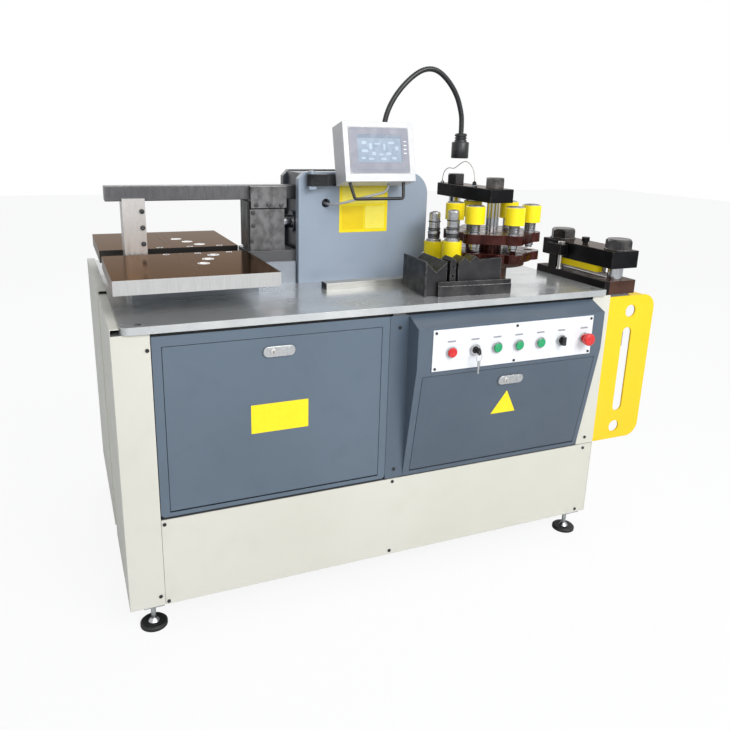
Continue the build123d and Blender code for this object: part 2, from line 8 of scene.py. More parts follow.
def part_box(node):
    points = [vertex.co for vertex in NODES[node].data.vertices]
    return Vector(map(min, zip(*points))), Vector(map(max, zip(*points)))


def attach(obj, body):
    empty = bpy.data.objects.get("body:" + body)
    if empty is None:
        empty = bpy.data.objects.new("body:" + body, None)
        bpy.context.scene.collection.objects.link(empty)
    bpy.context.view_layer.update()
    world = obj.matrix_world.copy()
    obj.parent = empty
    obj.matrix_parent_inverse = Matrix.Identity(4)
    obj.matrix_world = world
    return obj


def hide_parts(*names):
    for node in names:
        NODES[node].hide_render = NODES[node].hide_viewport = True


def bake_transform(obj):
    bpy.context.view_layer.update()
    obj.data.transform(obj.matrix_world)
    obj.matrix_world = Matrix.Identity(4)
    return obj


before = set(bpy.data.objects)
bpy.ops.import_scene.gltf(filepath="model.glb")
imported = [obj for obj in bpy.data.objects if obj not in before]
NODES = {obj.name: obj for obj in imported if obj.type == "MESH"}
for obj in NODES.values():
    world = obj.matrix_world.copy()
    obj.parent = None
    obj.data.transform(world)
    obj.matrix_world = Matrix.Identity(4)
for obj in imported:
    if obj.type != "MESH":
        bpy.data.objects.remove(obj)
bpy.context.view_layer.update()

TOP_LOW, TOP_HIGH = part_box("worktop")
MM = 0.001

# Directions, and places in worktop millimetres

UP = (0, 0, 1)
RIGHT = (1, 0, 0)
FRONTWARD = (0, -1, 0)
CONSOLE_TOP = (0, -53, -176)
CONSOLE_FOOT = (0, 8, -539)
SLOPE_UP = (Vector(CONSOLE_TOP) - Vector(CONSOLE_FOOT)).normalized()
SLOPE_OUT = Vector(RIGHT).cross(SLOPE_UP)
DISPLAY_AT = (819, 300, 415)
DISPLAY_TILT = math.radians(13.7)
GLASS_UP = Vector((0, math.sin(DISPLAY_TILT), math.cos(DISPLAY_TILT)))
GLASS_OUT = Vector((0, -math.cos(DISPLAY_TILT), math.sin(DISPLAY_TILT)))
TABLE_TOP_Z = 107
TABLES_MIDDLE_Y = 480
DISC_TOP_Z = 172
# Height of the stand under each spare punch, then the length of the punch's yellow cap
REAR_STAND, NEAR_STAND = 79, 97
SPARE_CAP = 54.2

# Where a node changes from one finish to another, in worktop millimetres

PUNCH_CAP_LOW, PUNCH_CAP_HIGH = 202.8, 257
BETWEEN_SPARES_Y = 240
PUNCH_NUTS_LOW = 263.5
SHEAR_NUTS_LOW = 64.5
TABLE_GAP_FRONT, TABLE_GAP_BACK = 426, 534
PAD_HIGH, PAD_RIGHT = 63.5, 1543.5
BASE_CASTING_HIGH, CLAMP_RIGHT = 24.2, 1519
RAM_SHADED_FACE_X = 441
RAM_SEAM_LOW, RAM_SEAM_HIGH = 232.6, 237
GUIDE_LOW, GUIDE_LEFT = 69.3, 432
BETWEEN_BARS_Y = 200
SAWN_END_RIGHT = 635.6
FOOT_PAD_HIGH = -875.5
FRONT_EDGE_Y = 8
# From the display's middle down to its handle, and from a door's face back to its shadowed edges
HANDLE_DOWN = 90.7
SEAM_DEPTH = 1.2


def at(x, y, z):
    # Millimetres from the worktop's front left top corner, as a point of the frame in metres
    return Vector((TOP_LOW.x + x * MM, TOP_LOW.y + y * MM, TOP_HIGH.z + z * MM))


def rgb(red, green, blue):
    # A display colour from 0 to 255, as the linear colour that a shader takes
    def linear(value):
        v = value / 255
        return v / 12.92 if v <= 0.04045 else ((v + 0.055) / 1.055) ** 2.4
    return (linear(red), linear(green), linear(blue), 1.0)


# Materials

# How far a widened bevel leans from its face, as 1 less their dot product: where the bright edge paint, part
# wear and part painted highlight, begins, and is full
EDGE_LEAN_START = 0.02
EDGE_LEAN_FULL = 0.18
# Half the width of the line between two finishes, in millimetres
AXIS_BLEND = 0.3
PLANE_BLEND = 0.2


class Finish:
    # A procedural material: the shader, and helpers that add its texture nodes
    def __init__(self, name, colour, metallic, roughness):
        self.material = bpy.data.materials.new(name)
        self.material.use_nodes = True
        self.tree = self.material.node_tree
        self.shader = self.tree.nodes["Principled BSDF"]
        self.shader.inputs["Base Color"].default_value = colour
        self.shader.inputs["Metallic"].default_value = metallic
        self.shader.inputs["Roughness"].default_value = roughness
        base = self.node("ShaderNodeRGB")
        base.outputs[0].default_value = colour
        self.colour = base.outputs[0]
        self.place = self.node("ShaderNodeTexCoord").outputs["Object"]
        self.normal = None

    def node(self, kind, **settings):
        made = self.tree.nodes.new(kind)
        for key, value in settings.items():
            setattr(made, key, value)
        return made

    def link(self, source, target):
        self.tree.links.new(source, target)

    def remap(self, value, low, high):
        # 0 up to the low value, and 1 from the high one on
        made = self.node("ShaderNodeMapRange")
        made.inputs["From Min"].default_value = low
        made.inputs["From Max"].default_value = high
        self.link(value, made.inputs["Value"])
        return made.outputs["Result"]

    def noise(self, scale, detail, stretch=(1, 1, 1), low=0.35, high=0.65):
        # Noise from 0 to 1 between two thresholds
        mapping = self.node("ShaderNodeMapping")
        mapping.inputs["Scale"].default_value = stretch
        self.link(self.place, mapping.inputs["Vector"])
        texture = self.node("ShaderNodeTexNoise")
        texture.inputs["Scale"].default_value = scale
        texture.inputs["Detail"].default_value = detail
        self.link(mapping.outputs["Vector"], texture.inputs["Vector"])
        return self.remap(texture.outputs["Fac"], low, high)

    def scaled(self, value, factor, plus=0.0):
        made = self.node("ShaderNodeMath", operation="MULTIPLY_ADD")
        self.link(value, made.inputs[0])
        made.inputs[1].default_value = factor
        made.inputs[2].default_value = plus
        return made.outputs[0]

    def tint(self, mask, colour, strength=1.0):
        # Mixes a colour over the present one where the mask is high
        mix = self.node("ShaderNodeMix", data_type="RGBA")
        self.link(self.scaled(mask, strength), mix.inputs["Factor"])
        self.link(self.colour, mix.inputs[6])
        mix.inputs[7].default_value = colour
        self.colour = mix.outputs[2]
        self.link(self.colour, self.shader.inputs["Base Color"])

    def gloss(self, mask, low, high):
        self.link(self.scaled(mask, high - low, low), self.shader.inputs["Roughness"])

    def bump(self, value, distance, strength):
        made = self.node("ShaderNodeBump")
        made.inputs["Strength"].default_value = strength
        made.inputs["Distance"].default_value = distance
        self.link(value, made.inputs["Height"])
        if self.normal is not None:
            self.link(self.normal, made.inputs["Normal"])
        self.normal = made.outputs["Normal"]
        self.link(self.normal, self.shader.inputs["Normal"])

    def soft_edges(self, radius):
        made = self.node("ShaderNodeBevel", samples=4)
        made.inputs["Radius"].default_value = radius
        self.normal = made.outputs["Normal"]
        self.link(self.normal, self.shader.inputs["Normal"])

    def worn_and_highlit_edges(self, colour, radius, strength=1.0):
        # Paints the sharp edges bright, part wear and part painted highlight, where a widened bevel leans
        # away from the face
        bevel = self.node("ShaderNodeBevel", samples=6)
        bevel.inputs["Radius"].default_value = radius
        face = self.node("ShaderNodeNewGeometry")
        dot = self.node("ShaderNodeVectorMath", operation="DOT_PRODUCT")
        self.link(bevel.outputs["Normal"], dot.inputs[0])
        self.link(face.outputs["Normal"], dot.inputs[1])
        edge = self.remap(dot.outputs["Value"], 1 - EDGE_LEAN_START, 1 - EDGE_LEAN_FULL)
        breakup = self.noise(90, 2, low=0.3, high=0.6)
        self.tint(self.both(edge, breakup), colour, strength)

    def facing_up(self):
        # 1 on faces that look up, 0 on the others
        face = self.node("ShaderNodeNewGeometry")
        split = self.node("ShaderNodeSeparateXYZ")
        self.link(face.outputs["Normal"], split.inputs[0])
        return self.remap(split.outputs["Z"], 0.7, 0.9)

    def beyond(self, axis, value):
        # 0 where the object lies before the value on the axis, in worktop millimetres, and 1 past it
        split = self.node("ShaderNodeSeparateXYZ")
        self.link(self.place, split.inputs[0])
        edge = at(value, value, value)["XYZ".index(axis)]
        return self.remap(split.outputs[axis], edge - AXIS_BLEND * MM, edge + AXIS_BLEND * MM)

    def short_of(self, axis, value):
        return self.inverse(self.beyond(axis, value))

    def between(self, axis, low, high):
        return self.both(self.beyond(axis, low), self.short_of(axis, high))

    def along(self, origin, direction, distance):
        # 0 before a plane and 1 past it: the plane stands a distance from the origin along a direction
        dot = self.node("ShaderNodeVectorMath", operation="DOT_PRODUCT")
        self.link(self.place, dot.inputs[0])
        dot.inputs[1].default_value = direction
        edge = at(*origin).dot(Vector(direction)) + distance * MM
        return self.remap(dot.outputs["Value"], edge - PLANE_BLEND * MM, edge + PLANE_BLEND * MM)

    def inverse(self, mask):
        return self.scaled(mask, -1.0, 1.0)

    def joined(self, operation, first, second):
        made = self.node("ShaderNodeMath", operation=operation)
        self.link(first, made.inputs[0])
        self.link(second, made.inputs[1])
        return made.outputs[0]

    def both(self, first, second):
        return self.joined("MULTIPLY", first, second)

    def either(self, first, second):
        return self.joined("ADD", first, second)

    def metal(self, mask, inside, outside):
        # Metallic value inside and outside a mask
        self.link(self.scaled(mask, inside - outside, outside), self.shader.inputs["Metallic"])


def sprayed(name, colour, shade, roughness):
    # Sprayed paint: fine orange peel, slow colour drift and faint smudges
    f = Finish(name, colour, 0.0, roughness)
    f.soft_edges(0.0012)
    f.tint(f.noise(1.7, 2), shade, 0.55)
    f.tint(f.noise(14, 5, low=0.52, high=0.72), shade, 0.22)
    f.gloss(f.noise(9, 4), roughness - 0.06, roughness + 0.08)
    f.bump(f.noise(900, 2), 0.00015, 0.25)
    return f


def powder_coat(name, colour, shade, roughness):
    f = sprayed(name, colour, shade, roughness)
    f.shader.inputs["Coat Weight"].default_value = 0.15
    f.shader.inputs["Coat Roughness"].default_value = 0.25
    return f.material


def seamed_slate(name, colour, shade, origin, inward):
    # Slate paint that ends in dark, shadowed edges behind the face
    f = sprayed(name, colour, shade, 0.42)
    f.tint(f.along(origin, inward, SEAM_DEPTH), rgb(27, 32, 38), 0.9)
    return f.material


def steel(name, colour, shade, roughness, stretch, grain, edge=None):
    # Ground or polished steel: a stretched noise gives the grinding lines
    f = Finish(name, colour, 1.0, roughness)
    f.soft_edges(0.0008)
    lines = f.noise(grain, 4, stretch, 0.3, 0.7)
    f.tint(lines, shade, 0.5)
    f.tint(f.noise(5, 5, low=0.45, high=0.7), shade, 0.35)
    f.gloss(lines, roughness - 0.07, roughness + 0.1)
    f.bump(lines, 0.00006, 0.25)
    if edge is not None:
        f.worn_and_highlit_edges(edge, 0.0012)
    return f.material


def oiled_black(name, colour, shade, roughness, metallic=0.6, edge=rgb(150, 150, 155)):
    # Black oxide steel: uneven oil film, scuffs and bright edges that are part wear and part painted
    # highlight
    f = Finish(name, colour, metallic, roughness)
    f.soft_edges(0.0012)
    f.tint(f.noise(16, 6, low=0.4, high=0.7), shade, 0.6)
    f.tint(f.noise(26, 5, (1, 6, 6), 0.58, 0.75), shade, 0.5)
    f.gloss(f.noise(34, 5), roughness - 0.1, roughness + 0.14)
    f.bump(f.noise(320, 3), 0.00012, 0.3)
    f.worn_and_highlit_edges(edge, 0.0013, 0.8)
    return f.material


def plastic(name, colour, shade, roughness, coat=0.0):
    f = Finish(name, colour, 0.0, roughness)
    f.soft_edges(0.0006)
    f.tint(f.noise(60, 3), shade, 0.4)
    f.gloss(f.noise(45, 3), roughness - 0.05, roughness + 0.07)
    f.bump(f.noise(1500, 2), 0.00008, 0.2)
    f.shader.inputs["Coat Weight"].default_value = coat
    f.shader.inputs["Coat Roughness"].default_value = 0.12
    return f.material


CAP_YELLOW = rgb(252, 228, 6)
OXIDE_SHEEN = rgb(150, 138, 130)
CREAM = powder_coat("cream paint", rgb(212, 210, 200), rgb(198, 197, 184), 0.5)
# Console shell: the toolbox slate painted darker, as painted shade on the leaning console
CONSOLE_SHADED_SLATE = powder_coat("console slate in painted shade", rgb(80, 93, 107), rgb(66, 79, 93), 0.42)
HOUSING = powder_coat("housing paint", rgb(152, 164, 179), rgb(134, 147, 163), 0.36)
HOUSING_DARK = powder_coat("housing core", rgb(58, 64, 72), rgb(42, 47, 54), 0.36)
GREY_BLUE = powder_coat("block paint", rgb(120, 132, 146), rgb(98, 110, 124), 0.45)
YELLOW = powder_coat("yellow paint", rgb(243, 204, 0), rgb(236, 194, 0), 0.55)
PRIMER = powder_coat("frame primer", rgb(96, 98, 100), rgb(80, 82, 84), 0.6)
PANEL_WHITE = powder_coat("panel white", rgb(228, 229, 232), rgb(216, 217, 221), 0.28)
LABEL_YELLOW = plastic("label film", rgb(250, 226, 12), rgb(244, 214, 8), 0.35)
# Painted shade for recesses: screw seats, the key slots and the screws' cross recesses
RECESS_SHADE = plastic("painted recess shade", rgb(34, 34, 30), rgb(28, 28, 26), 0.5)
RED = plastic("red lens plastic", rgb(214, 22, 22), rgb(186, 12, 14), 0.22, 0.5)
GREEN = plastic("green button plastic", rgb(20, 160, 100), rgb(12, 136, 84), 0.25, 0.4)
BLACK = plastic("black plastic", rgb(30, 31, 33), rgb(20, 21, 23), 0.38)
RUBBER = plastic("black rubber", rgb(26, 26, 27), rgb(36, 36, 36), 0.6)
LAMP_BLACK = plastic("lamp black", rgb(27, 28, 30), rgb(18, 19, 21), 0.36)
ROD = steel("hard chrome", rgb(216, 217, 220), rgb(168, 168, 172), 0.14, (40, 40, 2), 8)
ZINC = steel("zinc plate", rgb(196, 197, 198), rgb(150, 152, 154), 0.3, (8, 8, 8), 30)
PALE_STEEL = steel("pale ground steel", rgb(214, 211, 208), rgb(156, 153, 151), 0.38, (14, 14, 5), 7,
                   rgb(225, 225, 225))
DARK_STEEL = steel("dark scuffed steel", rgb(108, 108, 110), rgb(66, 66, 68), 0.4, (16, 16, 5), 7,
                   rgb(190, 190, 190))
OXIDE = oiled_black("black oxide", rgb(24, 25, 28), rgb(58, 59, 62), 0.34)
NUT_OXIDE = oiled_black("nut oxide", rgb(58, 59, 61), rgb(104, 104, 104), 0.42)
BROWN = oiled_black("brown oxide", rgb(74, 30, 23), rgb(38, 16, 14), 0.22, 0.55, rgb(150, 96, 82))
BASE_BROWN = oiled_black("brown base", rgb(86, 62, 52), rgb(58, 42, 38), 0.4, 0.5, rgb(170, 150, 140))
DIE_BLACK = oiled_black("die steel", rgb(24, 24, 27), rgb(54, 53, 54), 0.44, 0.3, rgb(215, 213, 208))
LABEL_PALE = plastic("label pale film", rgb(250, 234, 92), rgb(246, 226, 80), 0.35)
LABEL_DEEP = plastic("label deep film", rgb(240, 208, 4), rgb(232, 198, 2), 0.35)
LEGEND_GREY = plastic("legend grey", rgb(150, 152, 156), rgb(136, 138, 142), 0.4)
BEZEL = plastic("bezel grey", rgb(132, 134, 146), rgb(124, 126, 138), 0.4)
SCREEN = plastic("screen blue", rgb(118, 137, 157), rgb(108, 127, 148), 0.3)
SCREEN_PALE = plastic("screen pale", rgb(158, 176, 194), rgb(146, 164, 184), 0.3)
SCREEN_DEEP = plastic("screen deep", rgb(98, 114, 134), rgb(90, 106, 126), 0.3)
LENS = plastic("lamp lens", rgb(226, 228, 226), rgb(208, 212, 212), 0.2, 0.3)
CONDUIT_GREY = plastic("conduit grey", rgb(168, 170, 172), rgb(140, 142, 146), 0.4)
WIRE_GREY = plastic("wire grey", rgb(196, 194, 186), rgb(176, 174, 168), 0.45)
BRIGHT = steel("polished bore steel", rgb(250, 250, 250), rgb(226, 226, 226), 0.3, (8, 8, 8), 30)
SPRING = steel("spring steel", rgb(150, 151, 154), rgb(96, 97, 100), 0.28, (8, 8, 8), 30)


def worktop_steel():
    # Hard polished plate: long scratches, and cloudy bluish patches that are part wipe marks and part painted
    # reflection
    f = Finish("worktop steel", rgb(214, 215, 214), 0.6, 0.3)
    f.soft_edges(0.001)
    lines = f.noise(7, 5, (2, 60, 1), 0.3, 0.7)
    f.tint(lines, rgb(176, 179, 181), 0.45)
    # Bluish clouds: part wipe marks, part painted reflection
    wipes_and_reflections = f.noise(4.5, 6, (1, 1.6, 1), 0.42, 0.68)
    f.tint(wipes_and_reflections, rgb(160, 165, 170), 0.35)
    f.gloss(wipes_and_reflections, 0.17, 0.3)
    f.bump(lines, 0.00005, 0.3)
    f.worn_and_highlit_edges(rgb(198, 194, 187), 0.002, 0.35)
    return f.material


def table_steel():
    # Ground plate, oiled brown on top and bright on its milled sides, with painted shade on the sides that
    # face the slot between the tables
    f = Finish("table steel", rgb(206, 206, 205), 1.0, 0.3)
    f.soft_edges(0.0008)
    f.shader.inputs["Specular Tint"].default_value = rgb(176, 160, 148)
    lines = f.noise(9, 4, (24, 24, 2), 0.3, 0.7)
    f.tint(lines, rgb(178, 177, 176), 0.4)
    top = f.facing_up()
    f.tint(top, rgb(108, 93, 83), 0.97)
    f.tint(f.both(top, f.noise(3, 5, low=0.5, high=0.75)), rgb(98, 82, 72), 0.5)
    # Painted shade on the table sides in the slot
    slot_shade = f.both(f.between("Y", TABLE_GAP_FRONT, TABLE_GAP_BACK), f.inverse(top))
    f.tint(slot_shade, rgb(52, 47, 44), 0.94)
    f.gloss(top, 0.34, 0.16)
    f.bump(lines, 0.00003, 0.15)
    return f.material


def turned_steel(name):
    # Bright steel with fine turning lines, for the punches
    f = Finish(name, rgb(196, 197, 200), 1.0, 0.26)
    f.soft_edges(0.0006)
    f.tint(f.noise(14, 4, (1, 1, 30)), rgb(140, 141, 144), 0.5)
    return f


def punch_finish():
    # Punches with a yellow cap over the stripper springs
    f = turned_steel("punch steel")
    cap = f.between("Z", PUNCH_CAP_LOW, PUNCH_CAP_HIGH)
    f.tint(cap, CAP_YELLOW)
    f.tint(f.both(cap, f.noise(30, 4, low=0.5, high=0.75)), rgb(232, 202, 0), 0.5)
    f.metal(cap, 0.0, 1.0)
    f.gloss(cap, 0.24, 0.36)
    return f.material


def spare_finish():
    # Two inverted punches: yellow caps at their own heights, dark stands below them
    f = turned_steel("spare punch steel")
    rear = f.beyond("Y", BETWEEN_SPARES_Y)
    near = f.inverse(rear)
    rear_cap = f.both(rear, f.between("Z", REAR_STAND, REAR_STAND + SPARE_CAP))
    near_cap = f.both(near, f.between("Z", NEAR_STAND, NEAR_STAND + SPARE_CAP))
    rear_stand = f.both(rear, f.short_of("Z", REAR_STAND))
    near_stand = f.both(near, f.short_of("Z", NEAR_STAND))
    for cap in (rear_cap, near_cap):
        f.tint(cap, CAP_YELLOW)
    for stand in (rear_stand, near_stand):
        f.tint(stand, rgb(52, 52, 55))
    f.metal(f.either(rear_cap, near_cap), 0.0, 1.0)
    f.gloss(f.either(rear_cap, near_cap), 0.24, 0.36)
    return f.material


def column_steel(name, nuts_from):
    # Hard chrome below a beam, scuffed oxide on the nuts above it
    f = Finish(name, rgb(214, 215, 218), 1.0, 0.14)
    f.soft_edges(0.001)
    f.tint(f.noise(8, 3, (30, 30, 1)), rgb(176, 177, 180), 0.5)
    nuts = f.beyond("Z", nuts_from)
    f.tint(nuts, rgb(74, 73, 74))
    f.tint(f.both(nuts, f.noise(26, 5, low=0.45, high=0.7)), rgb(128, 124, 120), 0.7)
    f.gloss(nuts, 0.14, 0.36)
    f.worn_and_highlit_edges(rgb(190, 188, 184), 0.0013, 0.7)
    return f.material


def beam_oxide(name):
    # Black sides and a brown ground top. Gives the finish and the mask of its top
    f = Finish(name, rgb(26, 27, 30), 0.6, 0.34)
    f.shader.inputs["Specular Tint"].default_value = OXIDE_SHEEN
    f.soft_edges(0.0012)
    f.tint(f.noise(16, 6, low=0.4, high=0.7), rgb(48, 49, 52), 0.6)
    top = f.facing_up()
    f.tint(top, rgb(92, 74, 64), 0.9)
    return f, top


def punch_beam_finish():
    f, top = beam_oxide("punch beam oxide")
    f.metal(top, 1.0, 0.6)
    f.gloss(top, 0.36, 0.16)
    f.worn_and_highlit_edges(rgb(170, 165, 158), 0.0013, 0.8)
    return f.material


def shear_beam_finish():
    # The beam's oxide with the yellow pad beside it
    f, top = beam_oxide("shear beam oxide")
    pad = f.both(f.short_of("Z", PAD_HIGH), f.short_of("X", PAD_RIGHT))
    f.tint(pad, rgb(250, 222, 6))
    f.metal(pad, 0.0, 0.7)
    f.gloss(top, 0.36, 0.18)
    f.worn_and_highlit_edges(rgb(170, 165, 158), 0.0013, 0.6)
    return f.material


def shear_base_finish():
    # Brown oxide on the casting, black where the clamp and its bracket stand
    f = Finish("shear base oxide", rgb(92, 66, 55), 0.5, 0.38)
    f.shader.inputs["Specular Tint"].default_value = OXIDE_SHEEN
    f.soft_edges(0.0012)
    f.tint(f.noise(12, 6, low=0.4, high=0.7), rgb(64, 46, 41), 0.7)
    f.tint(f.beyond("Z", BASE_CASTING_HIGH), rgb(22, 22, 24))
    f.tint(f.short_of("X", CLAMP_RIGHT), rgb(24, 24, 26), 0.98)
    f.gloss(f.noise(30, 5), 0.28, 0.46)
    f.worn_and_highlit_edges(rgb(176, 164, 154), 0.0013, 0.8)
    return f.material


def ram_finish():
    # Scuffed grey steel, painted shade in black on the left face, and a black seam under the saddle
    f = Finish("ram steel", rgb(122, 121, 122), 1.0, 0.4)
    f.soft_edges(0.001)
    f.tint(f.noise(9, 6, (6, 6, 4), 0.38, 0.66), rgb(80, 79, 80), 0.75)
    f.tint(f.noise(5, 6, low=0.48, high=0.7), rgb(60, 58, 57), 0.6)
    f.gloss(f.noise(22, 5), 0.3, 0.5)
    f.worn_and_highlit_edges(rgb(205, 204, 202), 0.0014, 0.8)
    # Painted shade: the ram's left face, which lies in shadow, is painted black
    face = f.short_of("X", RAM_SHADED_FACE_X)
    f.tint(face, rgb(15, 15, 16))
    f.metal(face, 0.0, 1.0)
    f.tint(f.between("Z", RAM_SEAM_LOW, RAM_SEAM_HIGH), rgb(14, 14, 15), 0.9)
    return f.material


def support_finish():
    # Light ground rails with painted shade where they stand under the tables, and a dark guide for the ram
    f = Finish("support steel", rgb(150, 156, 164), 0.7, 0.4)
    f.soft_edges(0.001)
    f.tint(f.noise(8, 5), rgb(116, 122, 130), 0.5)
    f.tint(f.beyond("Z", GUIDE_LOW), rgb(88, 88, 90))
    # Painted shade on the rails under the tables
    f.tint(f.short_of("X", GUIDE_LEFT), rgb(112, 118, 124), 0.9)
    f.gloss(f.noise(20, 4), 0.32, 0.48)
    f.worn_and_highlit_edges(rgb(190, 192, 194), 0.0013, 0.7)
    return f.material


def case_finish():
    # White painted case, with the black wire handle under it
    f = Finish("display case paint", rgb(206, 206, 207), 0.0, 0.45)
    f.soft_edges(0.0012)
    f.tint(f.noise(8, 3), rgb(204, 204, 206), 0.5)
    f.bump(f.noise(900, 2), 0.0001, 0.2)
    handle = f.inverse(f.along(DISPLAY_AT, GLASS_UP, -HANDLE_DOWN))
    f.tint(handle, rgb(24, 24, 26))
    f.gloss(f.noise(20, 4), 0.32, 0.46)
    return f.material


def bar_finish():
    # Black die bar near the front edge, bright ground bar behind it with a dark sawn end
    f = Finish("bar steel", rgb(44, 43, 45), 0.6, 0.4)
    f.soft_edges(0.001)
    f.tint(f.noise(16, 5, low=0.4, high=0.7), rgb(92, 90, 90), 0.6)
    bright = f.beyond("Y", BETWEEN_BARS_Y)
    f.tint(bright, rgb(196, 195, 190))
    f.tint(f.both(bright, f.noise(9, 5, (2, 20, 20))), rgb(166, 165, 161), 0.5)
    f.tint(f.both(bright, f.short_of("X", SAWN_END_RIGHT)), rgb(26, 26, 28))
    f.metal(bright, 0.8, 0.6)
    f.gloss(f.noise(22, 5), 0.28, 0.46)
    f.worn_and_highlit_edges(rgb(215, 213, 208), 0.0014, 0.85)
    return f.material


def foot_finish():
    # Black pads under zinc-plated studs
    f = Finish("foot steel", rgb(186, 188, 190), 1.0, 0.34)
    f.soft_edges(0.0008)
    f.tint(f.noise(30, 4), rgb(140, 142, 145), 0.5)
    pad = f.short_of("Z", FOOT_PAD_HIGH)
    f.tint(pad, rgb(24, 24, 25))
    f.metal(pad, 0.0, 1.0)
    f.gloss(pad, 0.3, 0.6)
    return f.material


def paint(material, *names):
    # Gives CAD nodes a finish in place of their plain one
    for name in names:
        mesh = NODES[name].data
        mesh.materials.clear()
        mesh.materials.append(material)


paint(CREAM, "left_corner_panel", "left_side_panel", "right_side_panel", "rear_panel", "lower_front_panel")
paint(seamed_slate("toolbox slate", rgb(92, 106, 120), rgb(76, 90, 104), (0, FRONT_EDGE_Y, 0), (0, 1, 0)),
      "toolbox_surround", "toolbox_door")
# The console door's slate is painted darker than the toolbox's, as painted shade on the door, which leans to
# face down
paint(seamed_slate("console door slate in painted shade", rgb(78, 91, 104), rgb(64, 77, 90), CONSOLE_TOP, -SLOPE_OUT),
      "console_door")
paint(CONSOLE_SHADED_SLATE, "console_shell")
paint(HOUSING, "front_housing_plate")
paint(HOUSING_DARK, "rear_housing_plate", "bending_cylinder")
paint(GREY_BLUE, "press_cylinders", "power_unit")
paint(PRIMER, "cabinet_frame")
paint(YELLOW, "side_bracket")
paint(worktop_steel(), "worktop")
paint(table_steel(), "front_table", "back_table")
paint(support_finish(), "table_supports")
paint(ram_finish(), "ram_block", "ram_saddle")
paint(DARK_STEEL, "tie_bar")
paint(PALE_STEEL, "anvil_post", "lower_blade", "upper_blade", "hold_down_screw")
paint(ROD, "ram_rod")
paint(ZINC, "toolbox_latch", "console_latch")
paint(foot_finish(), "levelling_feet")
paint(punch_beam_finish(), "punch_beam")
paint(shear_beam_finish(), "shear_beam")
paint(OXIDE, "display_arm")
paint(column_steel("punch column steel", PUNCH_NUTS_LOW), "punch_columns")
paint(column_steel("shear column steel", SHEAR_NUTS_LOW), "shear_columns")
paint(BROWN, "upper_disc", "lower_disc")
paint(BASE_BROWN, "turret_base")
paint(shear_base_finish(), "shear_base")
paint(DIE_BLACK, "v_die_block", "die_end_plate")
paint(bar_finish(), "die_bars")
paint(PANEL_WHITE, "button_panel")
paint(case_finish(), "display_case")
paint(RED, "pilot_lamp", "stop_button")
paint(GREEN, "green_button_left", "green_button_middle", "green_button_right")
paint(BLACK, "selector_knob", "switch_key", "cover_screws")
paint(LAMP_BLACK, "gooseneck", "lamp_head", "display_conduit")
paint(RUBBER, "sensor_wire")
paint(punch_finish(), "working_punch", "idle_punches")
paint(spare_finish(), "spare_punches")


# Mesh helpers

# Sides of a ring's round section, points along a rounded corner, and the greatest angle that is shaded smooth
SECTION_STEPS = 10
CORNER_STEPS = 6
SMOOTH_ANGLE = math.radians(38)


def new_object(name, mesh, material, body=None, smooth=False):
    made = bpy.data.objects.new(name, mesh)
    bpy.context.scene.collection.objects.link(made)
    mesh.materials.append(material)
    if smooth:
        for polygon in mesh.polygons:
            polygon.use_smooth = True
        mesh.set_sharp_from_angle(angle=SMOOTH_ANGLE)
    if body is not None:
        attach(made, body)
    return made


def as_mesh(name, bm):
    mesh = bpy.data.meshes.new(name)
    bm.to_mesh(mesh)
    bm.free()
    return mesh


def join_rings(bm, rings):
    # Faces between each ring of points and the next, where a ring of one point is a pole
    for low, high in zip(rings, rings[1:]):
        steps = max(len(low), len(high))
        for k in range(steps):
            n = (k + 1) % steps
            corners = [low[k % len(low)], low[n % len(low)], high[n % len(high)], high[k % len(high)]]
            unique = list(dict.fromkeys(corners))
            if len(unique) > 2:
                bm.faces.new(unique)


def lathe(name, profile, base, axis, material, body, steps=40, closed=False):
    # Turns (radius, height) pairs in millimetres about an axis through the base point. A closed profile
    # is a section that the axis doesn't touch
    if closed:
        profile = list(profile) + [profile[0]]
    centre = at(*base)
    turn = Vector((0, 0, 1)).rotation_difference(Vector(axis)).to_matrix()
    bm = bmesh.new()
    rings = []
    for radius, height in profile:
        if radius < 1e-6:
            rings.append([bm.verts.new(centre + turn @ Vector((0, 0, height * MM)))])
            continue
        ring = []
        for k in range(steps):
            a = 2 * math.pi * k / steps
            point = Vector((radius * math.cos(a), radius * math.sin(a), height)) * MM
            ring.append(bm.verts.new(centre + turn @ point))
        rings.append(ring)
    if closed:
        rings[-1] = rings[0]
    join_rings(bm, rings)
    loose = [v for v in bm.verts if not v.link_faces]
    bmesh.ops.delete(bm, geom=loose, context="VERTS")
    bmesh.ops.recalc_face_normals(bm, faces=bm.faces)
    return new_object(name, as_mesh(name, bm), material, body, smooth=True)


def ring_profile(radius, thick):
    # The round section of a ring or of one turn of a spring
    turn = 2 * math.pi / SECTION_STEPS
    return [(radius + thick * math.cos(turn * k), thick * math.sin(turn * k)) for k in range(SECTION_STEPS)]


def plate(name, outline, plane, thickness, material, body, bevel=0.4):
    # A flat plate: an outline in millimetres, in a plane of origin, right and up, raised along its normal
    origin, right, up = plane
    origin = at(*origin)
    right = Vector(right).normalized()
    up = Vector(up).normalized()
    normal = right.cross(up)
    bm = bmesh.new()
    low = [bm.verts.new(origin + (right * u + up * v) * MM) for u, v in outline]
    face = bm.faces.new(low)
    raised = bmesh.ops.extrude_face_region(bm, geom=[face])
    moved = [v for v in raised["geom"] if isinstance(v, bmesh.types.BMVert)]
    bmesh.ops.translate(bm, verts=moved, vec=normal * thickness * MM)
    bmesh.ops.recalc_face_normals(bm, faces=bm.faces)
    if bevel:
        rim = [e for e in bm.edges if all(v in moved for v in e.verts)]
        bmesh.ops.bevel(bm, geom=rim, offset=bevel * MM, segments=2, affect="EDGES", profile=0.5)
    return new_object(name, as_mesh(name, bm), material, body)


